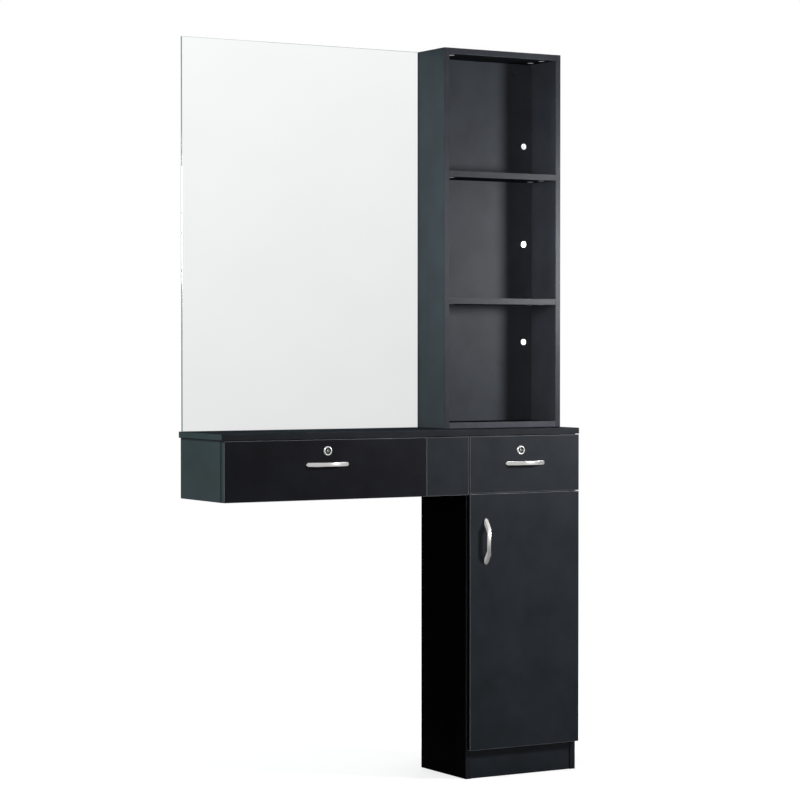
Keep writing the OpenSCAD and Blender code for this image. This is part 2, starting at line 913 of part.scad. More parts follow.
module desk_drawer_pull() {
    at_desk_pull() pull();
}

module desk_pull_screws() {
    at_desk_pull() pull_screws();
}

module cabinet_drawer_pull() {
    at_cabinet_pull() pull();
}

module cabinet_pull_screws() {
    at_cabinet_pull() pull_screws();
}

module door_pull() {
    at_door_pull() pull();
}

module door_pull_screws() {
    at_door_pull() pull_screws();
}

// Drawer locks: y is measured from the face of the front
module at_desk_lock() {
    translate([desk_lock_x, face_y, desk_lock_z]) children();
}

module at_cabinet_lock() {
    translate([cabinet_lock_x, face_y, cabinet_lock_z]) children();
}

// Collar, barrel and the nut that clamps them to the front
module lock_case() {
    color(silver) difference() {
        union() {
            rod_y(0, 0, [-collar_t, 0], collar_r);
            rod_y(0, 0, [-collar_t, barrel_end], barrel_r);
            translate([0, front_t, 0]) rotate([-90, 0, 0]) cylinder(h = nut_t, r = nut_r, $fn = 6);
        }
        rod_y(0, 0, [-collar_t - past, barrel_end + past], plug_r + pin_gap);
    }
}

// Plug with its keyway, and a square tail riveted over behind the cam
module lock_plug() {
    color(zinc) difference() {
        union() {
            rod_y(0, 0, [plug_recess - collar_t, latch_y], plug_r);
            block([-tail_side / 2, tail_side / 2], [latch_y - past, latch_y + latch_t + rivet_t],
                [-tail_side / 2, tail_side / 2]);
            rod_y(0, 0, [latch_y + latch_t, latch_y + latch_t + rivet_t], rivet_r);
        }
        block([-keyway_w / 2, keyway_w / 2], [-collar_t - past, keyway_d - collar_t],
            [-keyway_h / 2, keyway_h / 2]);
    }
}

module lock_cam() {
    hole = tail_side / 2 + pin_gap;
    color(zinc) difference() {
        union() {
            rod_y(0, 0, [latch_y, latch_y + latch_t], latch_half);
            block([0, cam_reach], [latch_y, latch_y + latch_t], [-latch_half, latch_half]);
        }
        block([-hole, hole], [latch_y - past, latch_y + latch_t + past], [-hole, hole]);
    }
}

module desk_lock_case() {
    at_desk_lock() lock_case();
}

module desk_lock_plug() {
    at_desk_lock() lock_plug();
}

module desk_lock_cam() {
    at_desk_lock() lock_cam();
}

module cabinet_lock_case() {
    at_cabinet_lock() lock_case();
}

module cabinet_lock_plug() {
    at_cabinet_lock() lock_plug();
}

module cabinet_lock_cam() {
    at_cabinet_lock() lock_cam();
}

// Angle under the counter, which hangs in front of the raised cam
module lock_strike(drop) {
    block([-strike_w / 2, strike_w / 2], [strike_y, strike_y + latch_t], [strike_up, drop]);
    block([-strike_w / 2, strike_w / 2], [strike_y, strike_y + strike_foot], [drop - latch_t, drop]);
}

module lock_strikes() {
    color(zinc) {
        at_desk_lock() lock_strike(desk_lock_drop);
        at_cabinet_lock() lock_strike(cabinet_lock_drop);
    }
}

// Door and its hinges
module at_hinges() {
    for (z = hinge_z) translate([right_x, face_y, z]) children();
}

module cabinet_door() {
    color(black_board) difference() {
        block(cabinet_face, [face_y, front_back_y], [door_low_z, door_top_z]);
        at_hinges() rod_y(cup_x, 0, [front_t - cup_d, front_t + past], cup_r + pin_gap);
        at_door_pull() for (s = [-1, 1]) rod_y(s * pull_screw_x, 0,
            [-past, front_t + past], pull_screw_r + hole_gap);
    }
}

module hinge_cups() {
    color(silver) at_hinges() difference() {
        union() {
            rod_y(cup_x, 0, [front_t - cup_d, front_t + flange_t], cup_r);
            rod_y(cup_x, 0, [front_t, front_t + flange_t], flange_r);
            block([cup_x - flange_half[0], cup_x + flange_half[0]], [front_t, front_t + flange_t],
                [-flange_half[1], flange_half[1]]);
        }
        rod_y(cup_x, 0, [front_t - cup_d + cup_wall, front_t + flange_t + past], cup_r - cup_wall);
    }
}

// Mounting plate and arm on the cabinet's right side, with the ears and the pin that carry the link
module hinge_arm() {
    block([-board_t - plate_t, -board_t], plate_y, [-plate_half_z, plate_half_z]);
    block([-board_t - plate_t - arm_t, -board_t - plate_t], arm_y, [-ear_z - ear_t, ear_z + ear_t]);
    translate([hinge_pin[0], hinge_pin[1], 0]) {
        for (z = [-ear_z - ear_t, ear_z]) {
            translate([0, 0, z]) cylinder(h = ear_t, r = ear_r);
            block([-ear_r, ear_r], [0, arm_y[0] - hinge_pin[1]], [z, z + ear_t]);
        }
        translate([0, 0, -ear_z - ear_t]) cylinder(h = 2 * (ear_z + ear_t), r = hinge_pin_r);
    }
}

module hinge_arms() {
    color(silver) at_hinges() hinge_arm();
}

// Link that turns on the arm's pin and reaches into the cup, just clear of its floor
module hinge_link() {
    translate([hinge_pin[0], hinge_pin[1], -link_half_z]) rotate([0, 0, link_turn]) difference() {
        union() {
            cylinder(h = 2 * link_half_z, r = link_eye_r);
            translate([0, -link_half, 0]) cube([link_len, 2 * link_half, 2 * link_half_z]);
            translate([link_len, 0, 0]) cylinder(h = 2 * link_half_z, r = link_end_r);
        }
        translate([0, 0, -past]) cylinder(h = 2 * (link_half_z + past), r = hinge_pin_r + pin_gap);
    }
}

module hinge_links() {
    color(zinc) at_hinges() hinge_link();
}

tower_left_side();
tower_right_side();
tower_top();
tower_upper_shelf();
tower_lower_shelf();
tower_bottom();
tower_back();
tower_rail();
mirror_glass();
mirror_backing();
counter_top();
desk_left_side();
desk_divider();
desk_bottom();
desk_back();
filler_panel();
cabinet_left_side();
cabinet_right_side();
cabinet_bottom();
drawer_divider();
cabinet_back();
cabinet_shelf();
shelf_pins();
plinth();
cam_locks();
cam_bolts();
tower_screws();
desk_slide_outer();
cabinet_slide_outer();
hinge_arms();
lock_strikes();
desk_slide_middle();
cabinet_slide_middle();
hinge_links();
desk_drawer_front();
desk_drawer_left_side();
desk_drawer_right_side();
desk_drawer_back();
desk_drawer_bottom();
desk_slide_inner();
desk_drawer_pull();
desk_pull_screws();
desk_lock_case();
desk_lock_plug();
desk_lock_cam();
cabinet_drawer_front();
cabinet_drawer_left_side();
cabinet_drawer_right_side();
cabinet_drawer_back();
cabinet_drawer_bottom();
cabinet_slide_inner();
cabinet_drawer_pull();
cabinet_pull_screws();
cabinet_lock_case();
cabinet_lock_plug();
cabinet_lock_cam();
cabinet_door();
door_pull();
door_pull_screws();
hinge_cups();
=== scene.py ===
import json
import math

import bmesh
import bpy
from mathutils import Matrix, Vector


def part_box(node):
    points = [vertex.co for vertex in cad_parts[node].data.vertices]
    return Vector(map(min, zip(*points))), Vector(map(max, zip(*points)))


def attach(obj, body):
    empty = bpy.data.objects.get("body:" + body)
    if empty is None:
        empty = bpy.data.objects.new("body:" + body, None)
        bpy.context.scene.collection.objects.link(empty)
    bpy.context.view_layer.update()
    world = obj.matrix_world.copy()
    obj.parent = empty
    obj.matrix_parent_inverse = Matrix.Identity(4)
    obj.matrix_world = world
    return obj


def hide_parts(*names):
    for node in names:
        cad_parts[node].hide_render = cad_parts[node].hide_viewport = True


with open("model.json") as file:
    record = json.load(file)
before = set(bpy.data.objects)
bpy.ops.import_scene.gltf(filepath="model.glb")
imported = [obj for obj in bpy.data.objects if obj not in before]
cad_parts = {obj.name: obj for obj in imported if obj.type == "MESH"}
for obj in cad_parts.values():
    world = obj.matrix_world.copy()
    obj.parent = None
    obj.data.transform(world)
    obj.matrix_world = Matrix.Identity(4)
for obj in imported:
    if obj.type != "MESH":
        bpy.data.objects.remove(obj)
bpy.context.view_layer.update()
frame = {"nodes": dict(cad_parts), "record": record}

mm = 0.001
nodes = frame["nodes"]
bodyOf = {node: body for body, members in frame["record"]["behaviour"]["bodies"].items()
          for node in members}
print("stage: frame loaded with", len(nodes), "nodes")


# Colours and nodes

def linearColour(hexCode):
    parts = [int(hexCode[i:i + 2], 16) / 255 for i in (1, 3, 5)]
    linear = [p / 12.92 if p <= 0.04045 else ((p + 0.055) / 1.055) ** 2.4 for p in parts]
    return (*linear, 1.0)


def addNode(material, kind, settings=None, links=None):
    # settings are sockets or properties by name; links are socket: (node, its output)
    node = material.node_tree.nodes.new(kind)
    for name, value in (settings or {}).items():
        if hasattr(node, str(name)):
            setattr(node, name, value)
        else:
            node.inputs[name].default_value = value
    for name, (source, output) in (links or {}).items():
        material.node_tree.links.new(source.outputs[output], node.inputs[name])
    return node


def newMaterial(name):
    material = bpy.data.materials.new(name)
    material.use_nodes = True
    material.node_tree.nodes.clear()
    return material


def grainScale(sizeMm):
    return 1000 / sizeMm


def finishSurface(material, shader):
    addNode(material, "ShaderNodeOutputMaterial", links={"Surface": (shader, 0)})
    material.diffuse_color = shader.inputs["Base Color"].default_value
    return material


# Melamine-faced chipboard, pressed against a fine pearl plate: a broad soft sheen,
# a grain too fine to show at this size, so it is drawn about twice as coarse as it is
melamineLook = {
    "grainMm": 1.6,
    "cloudMm": 90.0,
    "grainShare": 0.35,  # of the grain in the tone, on top of the clouds
    "toneRange": (0.42, 0.92),  # of the two together, from dark to pale
    "roughness": 0.42,
    "roughnessSwing": (-0.05, 0.06),
    "specular": 0.1,
    "bumpMm": 0.03,
}


def melamine(name, dark, pale, look=melamineLook):
    material = newMaterial(name)
    place = addNode(material, "ShaderNodeTexCoord")
    clouds = addNode(material, "ShaderNodeTexNoise",
                     {"Scale": grainScale(look["cloudMm"]), "Detail": 3.0, "Roughness": 0.55},
                     {"Vector": (place, "Object")})
    grain = addNode(material, "ShaderNodeTexNoise",
                    {"Scale": grainScale(look["grainMm"]), "Detail": 2.0, "Roughness": 0.6},
                    {"Vector": (place, "Object")})
    both = addNode(material, "ShaderNodeMath", {"operation": "MULTIPLY_ADD", 1: look["grainShare"]},
                   {0: (grain, "Fac"), 2: (clouds, "Fac")})
    darkest, palest = look["toneRange"]
    share = addNode(material, "ShaderNodeMapRange", {"From Min": darkest, "From Max": palest},
                    {"Value": (both, 0)})
    colour = addNode(material, "ShaderNodeMixRGB",
                     {"Color1": linearColour(dark), "Color2": linearColour(pale)}, {"Fac": (share, 0)})
    smoothest, roughest = (look["roughness"] + swing for swing in look["roughnessSwing"])
    gloss = addNode(material, "ShaderNodeMapRange", {"To Min": smoothest, "To Max": roughest},
                    {"Value": (grain, "Fac")})
    relief = addNode(material, "ShaderNodeBump", {"Strength": 0.35, "Distance": look["bumpMm"] * mm},
                     {"Height": (grain, "Fac")})
    shader = addNode(material, "ShaderNodeBsdfPrincipled", {"Specular IOR Level": look["specular"]},
                     {"Base Color": (colour, 0), "Roughness": (gloss, 0), "Normal": (relief, 0)})
    return finishSurface(material, shader)


# Metals keep the default IOR. Their strokes are given in mm along X, Y and Z; most are finer on the real
# ones and drawn as coarse as they need to show
metalSwing = 0.08  # of the roughness, to either side


def metal(name, dark, pale, roughness, strokesMm, bumpMm=0.01):
    material = newMaterial(name)
    place = addNode(material, "ShaderNodeTexCoord")
    stretch = addNode(material, "ShaderNodeMapping", {"Scale": [grainScale(size) for size in strokesMm]},
                      {"Vector": (place, "Object")})
    strokes = addNode(material, "ShaderNodeTexNoise", {"Scale": 1.0, "Detail": 2.0, "Roughness": 0.5},
                      {"Vector": (stretch, 0)})
    colour = addNode(material, "ShaderNodeMixRGB",
                     {"Color1": linearColour(dark), "Color2": linearColour(pale)},
                     {"Fac": (strokes, "Fac")})
    gloss = addNode(material, "ShaderNodeMapRange",
                    {"To Min": roughness - metalSwing, "To Max": roughness + metalSwing},
                    {"Value": (strokes, "Fac")})
    relief = addNode(material, "ShaderNodeBump", {"Strength": 0.3, "Distance": bumpMm * mm},
                     {"Height": (strokes, "Fac")})
    shader = addNode(material, "ShaderNodeBsdfPrincipled", {"Metallic": 1.0},
                     {"Base Color": (colour, 0), "Roughness": (gloss, 0), "Normal": (relief, 0)})
    return finishSurface(material, shader)


# Chipboard core where a bore or a groove opens the board: pale chips in resin, dull all over
coreLook = {
    "chipMm": 2.5,
    "roughness": 0.85,
    "specular": 0.2,
    "bumpMm": 0.2,
}


def chipboardCore(name, dark, pale):
    material = newMaterial(name)
    place = addNode(material, "ShaderNodeTexCoord")
    chips = addNode(material, "ShaderNodeTexVoronoi",
                    {"Scale": grainScale(coreLook["chipMm"]), "Randomness": 1.0},
                    {"Vector": (place, "Object")})
    colour = addNode(material, "ShaderNodeMixRGB",
                     {"Color1": linearColour(dark), "Color2": linearColour(pale)},
                     {"Fac": (chips, "Distance")})
    relief = addNode(material, "ShaderNodeBump", {"Strength": 0.6, "Distance": coreLook["bumpMm"] * mm},
                     {"Height": (chips, "Distance")})
    shader = addNode(material, "ShaderNodeBsdfPrincipled",
                     {"Roughness": coreLook["roughness"], "Specular IOR Level": coreLook["specular"]},
                     {"Base Color": (colour, 0), "Normal": (relief, 0)})
    return finishSurface(material, shader)


# The boards are all the same black, but the picture's light leaves each face its own tone and sheen
dullLook = dict(melamineLook, specular=0.0)
wideFrontLook = dict(melamineLook, specular=0.06)
finishes = {
    "tower": melamine("black melamine, pressed, tower", "#2c3036", "#393e45"),
    "shelf": melamine("black melamine, pressed, shelves", "#1b1c20", "#26282c", dullLook),
    "towerSide": melamine("black melamine, pressed, tower side", "#1f282c", "#293338"),
    "deskSide": melamine("black melamine, pressed, desk side", "#2f3f41", "#3b4b4e"),
    "carcass": melamine("black melamine, pressed, carcass", "#24272b", "#30343a"),
    "shadedSide": melamine("black melamine, pressed, shaded side", "#0b090b", "#131013", dullLook),
    "counter": melamine("black melamine, pressed, counter", "#1e2225", "#292e33", dullLook),
    "front": melamine("black melamine, pressed, fronts", "#202429", "#2b3036"),
    "deskFront": melamine("black melamine, pressed, wide front", "#15151a", "#212228", wideFrontLook),
    "box": melamine("foil-wrapped drawer board", "#3a3b3e", "#4a4c50"),
    "core": chipboardCore("chipboard core, bored", "#6b5238", "#a98a62"),
    # the tower back's bored core, painted dark as shade
    "shadedCore": chipboardCore("chipboard core, bored, painted shade", "#0d0b0a", "#1a1714"),
}

# ABS edging, extruded and buffed after trimming: smoother than the faces. Its paler tones on the tower and
# the tower's foot are painted highlight
edgingLook = dict(melamineLook, grainMm=4.0, cloudMm=60.0, roughness=0.34, bumpMm=0.015)
arrisLook = dict(edgingLook, specular=0.0)
finishes["edging"] = melamine("ABS edging, buffed", "#1c1f23", "#272a2f", edgingLook)
finishes["towerEdging"] = melamine("ABS edging, buffed, tower", "#2f3137", "#3b3e44", edgingLook)
finishes["footEdging"] = melamine("ABS edging, buffed, tower's foot", "#44474e", "#51545b", edgingLook)
# the pale line at the trimmed corners is a painted highlight, the tower's a fainter one, and the shaded
# corners' tone is painted shade
finishes["arris"] = melamine("ABS edging, trimmed corner", "#7b7e84", "#96999e", arrisLook)
finishes["towerArris"] = melamine("ABS edging, trimmed corner, tower", "#484b51", "#606369", arrisLook)
finishes["darkArris"] = melamine("ABS edging, trimmed corner, shaded", "#2c2f34", "#3f4349", arrisLook)

metals = {
    # brushed along the bow: a soft streak of light runs from end to end
    "nickel": ("satin nickel on die-cast zinc, brushed", "#aeadac", "#dcdbd9", 0.3, (14.0, 0.5, 0.5)),
    "nickelUpright": ("satin nickel on die-cast zinc, brushed upright", "#aeadac", "#dcdbd9", 0.3,
                      (0.5, 0.5, 14.0)),
    # grey and dull, with a fine grain: painted shade on the cams' recesses and sides, and on the cams under
    # the shelves
    "castZinc": ("cast zinc, tumbled", "#8e9093", "#b4b6b8", 0.45, (1.5, 1.5, 1.5), 0.05),
    # paler, with blurred reflections: a painted highlight on the faces of the other cams
    "camFaceHighlight": ("cast zinc, bright nickel plated", "#cfd0d2", "#e6e6e7", 0.3, (2.0, 2.0, 2.0)),
    "plated": ("steel, bright zinc plated", "#a9adb0", "#c9ccce", 0.32, (3.0, 3.0, 3.0)),
    # rolled: fine strokes along the strip
    "slide": ("steel strip, cold rolled and zinc plated", "#a5a8ab", "#c3c6c8", 0.36, (1.0, 40.0, 1.0)),
    # pressed or turned and plated: the shiniest, with soft highlights
    "hinge": ("steel, pressed and nickel plated", "#b7b5b1", "#d8d6d2", 0.22, (5.0, 5.0, 5.0)),
    "plug": ("brass plug, chromed", "#8f9092", "#c2c3c4", 0.24, (3.0, 3.0, 3.0)),
    # painted shade in the locks' bores, dishes, keyways and grooves and in the screws' recesses: hardly any
    # light comes back
    "blackened": ("brass, blackened", "#17181a", "#26272a", 0.4, (2.0, 2.0, 2.0)),
    "blackOxide": ("steel, black oxide", "#0c0c0d", "#161617", 0.5, (2.0, 2.0, 2.0)),
}
for key, values in metals.items():
    finishes[key] = metal(*values)
print("stage: finishes made,", len(finishes))


# Boards: each is the CAD board with its corners trimmed as an edging machine leaves them

boardLook = {
    "arrisMm": 0.9,
    "arrisSteps": 2,
    "longEdgeMm": 12.0,
    "cornerDegrees": 60,
    "outerMm": 0.05,  # an outer face lies this near the board's box
}
mergeMm = 0.01
flatDegrees = 0.5


# A CAD node's mesh is loose triangles: its corners are merged and its flat faces made whole
def meshOfNode(node):
    shape = bmesh.new()
    shape.from_mesh(nodes[node].data)
    bmesh.ops.remove_doubles(shape, verts=shape.verts, dist=mergeMm * mm)
    bmesh.ops.dissolve_limit(shape, angle_limit=math.radians(flatDegrees), verts=shape.verts,
                             edges=shape.edges)
    return shape


def sharpEdges(shape, angle, longerThan=0.0):
    return [e for e in shape.edges if len(e.link_faces) == 2 and e.calc_length() > longerThan * mm
            and e.calc_face_angle() > math.radians(angle)]


def trim(shape, edges, sizeMm, steps):
    return bmesh.ops.bevel(shape, geom=edges, offset=sizeMm * mm, offset_type="OFFSET", affect="EDGES",
                           segments=steps, profile=0.5, material=-1, clamp_overlap=True)["faces"]


# Faces larger than this are flat ones and take no smoothing
flatFromMm2 = 400.0
# The catalogue picture's mirror is plain, so only the mirror itself shows in other surfaces
reflected = "mirror_glass"


def piece(name, shape, finishKeys, node, smoothAngle=20, replacing=True, weighted=False):
    mesh = bpy.data.meshes.new(name)
    shape.to_mesh(mesh)
    shape.free()
    mesh.set_sharp_from_angle(angle=math.radians(smoothAngle))
    for face in mesh.polygons:
        face.use_smooth = face.area < flatFromMm2 * mm * mm
    for key in finishKeys:
        mesh.materials.append(finishes[key])
    made = bpy.data.objects.new(name, mesh)
    bpy.context.scene.collection.objects.link(made)
    if weighted:
        normals = made.modifiers.new("flat faces stay flat", "WEIGHTED_NORMAL")
        normals.keep_sharp = True
    made.visible_glossy = node == reflected
    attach(made, bodyOf[node])
    if replacing:
        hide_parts(node)
    return made


def join(shape, other):
    mesh = bpy.data.meshes.new("joined")
    other.to_mesh(mesh)
    other.free()
    shape.from_mesh(mesh)
    bpy.data.meshes.remove(mesh)


# Boards whose ends butt against the sides and keep their end corners square
betweenSides = ("tower_top", "tower_upper_shelf", "tower_lower_shelf", "tower_bottom", "tower_back")
# Ends and corners whose tone is painted light and shade instead of their board's usual finish: the desk
# side's lit tone, and darker shaded tones
ways = {"left": (-1, 0, 0), "right": (1, 0, 0), "up": (0, 0, 1), "down": (0, 0, -1)}
endLightAndShade = {
    "counter_top": {"left": "deskSide"},
    "desk_drawer_front": {"left": "deskSide", "up": "shadedSide"},
    "filler_panel": {"up": "shadedSide"},
    "cabinet_drawer_front": {"up": "shadedSide"},
    "cabinet_door": {"left": "shadedSide", "up": "shadedSide"},
    "plinth": {"left": "shadedSide"},
    "tower_left_side": {"up": "shelf"},
    "tower_right_side": {"up": "shelf"},
}
cornerLightAndShade = {
    "cabinet_drawer_front": {"right": "darkArris"},
    "cabinet_door": {"right": "darkArris"},
    "tower_left_side": {"down": "shadedSide"},
    "tower_right_side": {"down": "shadedSide"},
    "tower_bottom": {"down": "shadedSide"},
}
# A board's slots after its face: the edging on the side that looks forward, the trimmed corners and the
# bored core, and from ownSlots on the painted light and shade of the ends and corners above
edgingSlot, arrisSlot, coreSlot, ownSlots = 1, 2, 3, 4
exactly, squarely, partly = 0.999, 0.9, 0.3  # how far a face looks one way, as a cosine


def looks(normal, way, enough):
    return normal.dot(Vector(ways[way])) > enough


def board(node, face, edging, arris, core):
    ends, corners = endLightAndShade.get(node, {}), cornerLightAndShade.get(node, {})
    shape = meshOfNode(node)
    low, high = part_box(node)
    for f in shape.faces:
        centre, normal = f.calc_center_median(), f.normal
        axis = max(range(3), key=lambda i: abs(normal[i]))
        inset = min(abs(centre[axis] - low[axis]), abs(centre[axis] - high[axis]))
        if inset >= boardLook["outerMm"] * mm or abs(normal[axis]) < exactly:
            f.material_index = coreSlot
        elif axis == 1 and normal[1] < 0:
            f.material_index = edgingSlot
        else:
            for i, way in enumerate(ends):
                if looks(normal, way, squarely):
                    f.material_index = ownSlots + i
    longEdge = boardLook["longEdgeMm"]
    corner = [e for e in sharpEdges(shape, boardLook["cornerDegrees"], longEdge)
              if node not in betweenSides or abs(e.verts[0].co.x - e.verts[1].co.x) > longEdge * mm]
    for f in trim(shape, corner, boardLook["arrisMm"], boardLook["arrisSteps"]):
        f.normal_update()
        f.material_index = arrisSlot
        for i, way in enumerate(corners):
            if looks(f.normal, way, partly):
                f.material_index = ownSlots + len(ends) + i
    keys = (face, edging, arris, core, *ends.values(), *corners.values())
    piece(node + "_board", shape, keys, node)


boards = {
    "tower_left_side": ("towerSide", "towerEdging", "darkArris"),
    "tower_right_side": ("tower", "towerEdging", "darkArris"),
    "tower_top": ("shelf", "towerEdging", "towerArris"),
    "tower_upper_shelf": ("shelf", "towerEdging", "towerArris"),
    "tower_lower_shelf": ("shelf", "towerEdging", "towerArris"),
    "tower_bottom": ("shelf", "footEdging", "towerArris"),
    "tower_back": ("tower", "tower", "darkArris"),
    "tower_rail": ("tower", "tower", "darkArris"),
    "mirror_backing": ("carcass", "carcass", "darkArris"),
    "counter_top": ("counter", "edging", "darkArris"),
    "desk_left_side": ("deskSide", "edging", "darkArris"),
    "desk_divider": ("carcass", "edging", "darkArris"),
    "desk_bottom": ("carcass", "edging", "darkArris"),
    "desk_back": ("carcass", "carcass", "darkArris"),
    "filler_panel": ("front", "front", "arris"),
    "cabinet_left_side": ("shadedSide", "edging", "darkArris"),
    "cabinet_right_side": ("carcass", "edging", "darkArris"),
    "cabinet_bottom": ("shelf", "edging", "darkArris"),
    "drawer_divider": ("carcass", "edging", "darkArris"),
    "cabinet_back": ("carcass", "carcass", "darkArris"),
    "cabinet_shelf": ("shelf", "edging", "darkArris"),
    "plinth": ("front", "front", "darkArris"),
    "desk_drawer_front": ("deskFront", "deskFront", "arris"),
    "cabinet_drawer_front": ("front", "front", "arris"),
    "cabinet_door": ("front", "front", "arris"),
}
for node, (face, edging, arris) in boards.items():
    # the bores in the tower's back lie in shade, which is painted into their core
    core = "shadedCore" if node == "tower_back" else "core"
    board(node, face, edging, arris, core)
drawerBoards = [f"{drawer}_drawer_{part}" for drawer in ("desk", "cabinet")
                for part in ("left_side", "right_side", "back", "bottom")]
for node in drawerBoards:
    board(node, "box", "box", "box", "core")
print("stage: boards made,", len(boards) + len(drawerBoards))


# Cam locks: the CAD cams, paler on the face as a painted highlight and darker in the recess and down the
# sides as painted shade; those under the shelves are darker all over, as painted shade
camLook = {"faceDepthMm": 0.6}


def islands(shape):
    seen, found = set(), []
    for start in shape.verts:
        if start in seen:
            continue
        island, queue = [], [start]
        seen.add(start)
        while queue:
            vert = queue.pop()
            island.append(vert)
            for edge in vert.link_edges:
                other = edge.other_vert(vert)
                if other not in seen:
                    seen.add(other)
                    queue.append(other)
        found.append(island)
    return found


def camLocks():
    shape = meshOfNode("cam_locks")
    for island in islands(shape):
        low = [min(v.co[i] for v in island) for i in range(3)]
        high = [max(v.co[i] for v in island) for i in range(3)]
        axis = min(range(3), key=lambda i: high[i] - low[i])
        atLow = sum(abs(v.co[axis] - low[axis]) < mergeMm * mm for v in island)
        atHigh = sum(abs(v.co[axis] - high[axis]) < mergeMm * mm for v in island)
        facePlane = low[axis] if atLow > atHigh else high[axis]
        for f in {f for v in island for f in v.link_faces}:
            depth = abs(f.calc_center_median()[axis] - facePlane)
            if axis != 2 and depth < camLook["faceDepthMm"] * mm:
                f.material_index = 1
    piece("cam_locks_cast", shape, ("castZinc", "camFaceHighlight"), "cam_locks")


camLocks()


# Pulls: the die-cast bow with its corners rounded as tumbling leaves them
pullLook = {
    "cornerMm": 0.7,
    "cornerSteps": 3,
    "cornerDegrees": 20,
    "longEdgeMm": 1.5,
}


def pull(node, finish):
    look, shape = pullLook, meshOfNode(node)
    trim(shape, sharpEdges(shape, look["cornerDegrees"], look["longEdgeMm"]), look["cornerMm"],
         look["cornerSteps"])
    piece(node + "_cast", shape, (finish,), node, smoothAngle=50, weighted=True)


pull("desk_drawer_pull", "nickel")
pull("cabinet_drawer_pull", "nickel")
pull("door_pull", "nickelUpright")
print("stage: cams and pulls made")


# Locks: the collar is a bright bead round a dish painted dark as shade, on a threaded barrel with a hexagon
# nut. The plug has a keyway in a low boss, and a square tail riveted over behind the cam; the keyway and
# the groove round the boss are painted dark as shade
lockLook = {
    "collarOutMm": 3.0,
    # radius and depth below the bead's top, from the bore over the dish and the bead to the rim
    "collarMm": ((5.7, 1.6), (7.3, 1.5), (7.9, 1.1), (8.4, 0.2), (9.1, 0.0), (9.8, 0.2), (10.4, 1.1),
                 (11.0, 2.2)),
    "barrelMm": 9.4,  # a radius, as the nut's is
    "barrelEndMm": 20.5,
    "threadMm": 0.35,
    "threads": 9,
    "nutMm": 13.0,
    "nutFromMm": 15.0,
    "nutThickMm": 3.0,
    "nutEaseMm": (0.8, 0.5),  # across and down
    "plugSetMm": 0.5,  # the plug's face lies this far below the bead's top
    # radius and depth below the plug's face, from the boss over the groove round it to the plug's rim
    "plugMm": ((2.8, 0.0), (3.1, 0.3), (3.3, 0.8), (5.15, 0.8), (5.45, 1.1)),
    "keywayMm": 0.8,  # half its width
    "keywayReachMm": 1.9,  # half its straight length
    "keywayDeepMm": 8.0,
    "keywayEaseMm": (0.2, 0.15),
    "squareMm": 6.0,
    "tailMm": 3.0,
    # radius and height from the tail's end
    "rivetMm": ((4.4, 0.0), (4.4, 0.7), (4.0, 1.0)),
}
bright, black = 0, 1  # slots of the locks and of the screws further on; black is painted shade


def rings(shape, profile, segments=48, closed=False, slots=None):
    # profile is (radius, height, half a straight length), built up along Z and bridged ring to ring
    made = []
    for i, (radius, height, straight) in enumerate(profile):
        capped = not closed and i in (0, len(profile) - 1)
        circle = bmesh.ops.create_circle(shape, cap_ends=capped, radius=radius * mm, segments=segments)
        ring = circle["verts"]
        for vert in ring:
            vert.co.z = height * mm
            vert.co.y += math.copysign(straight * mm, vert.co.y)
        made.append({e for v in ring for e in v.link_edges if e.other_vert(v) in ring})
    last = len(made) if closed else len(made) - 1
    for i in range(last):
        bridged = bmesh.ops.bridge_loops(shape, edges=list(made[i] | made[(i + 1) % len(made)]))
        for f in bridged["faces"]:
            f.material_index = slots[i] if slots else 0
    bmesh.ops.recalc_face_normals(shape, faces=shape.faces)


def faceForward(shape, place):
    # a part built up along Z comes to look along -Y at its place in the front
    turn = Matrix.Rotation(math.radians(90), 4, "X")
    bmesh.ops.transform(shape, matrix=Matrix.Translation(place) @ turn, verts=shape.verts)


def lockPlace(drawer):
    low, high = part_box(drawer + "_lock_case")
    return Vector(((low[0] + high[0]) / 2, low[1] + lockLook["collarOutMm"] * mm, (low[2] + high[2]) / 2))


def lockCase(drawer):
    look, out = lockLook, lockLook["collarOutMm"]
    bore, collar, barrel = look["collarMm"][0][0], look["collarMm"][-1][0], look["barrelMm"]
    step = look["barrelEndMm"] / look["threads"] / 2
    outline = [(bore, -look["barrelEndMm"], 0)]
    outline += [(radius, out - depth, 0) for radius, depth in look["collarMm"]]
    outline += [(collar, 0, 0), (barrel, 0, 0)]
    outline += [(barrel - look["threadMm"] * (i % 2), -(i + 1) * step, 0)
                for i in range(look["threads"] * 2)]
    slots = [black] * 3 + [bright] * (len(outline) - 3)  # the bore and the dish are painted shade
    shape = bmesh.new()
    rings(shape, outline, closed=True, slots=slots)
    nut = bmesh.new()
    top, foot, edge = -look["nutFromMm"], -look["nutFromMm"] - look["nutThickMm"], look["nutMm"]
    across, down = look["nutEaseMm"]
    rings(nut, [(barrel, top, 0), (edge - across, top, 0), (edge, top - down, 0), (edge, foot + down, 0),
                (edge - across, foot, 0), (barrel, foot, 0)], segments=6, closed=True)
    join(shape, nut)
    faceForward(shape, lockPlace(drawer))
    piece(drawer + "_lock_collar", shape, ("nickel", "blackened"), drawer + "_lock_case", smoothAngle=35)


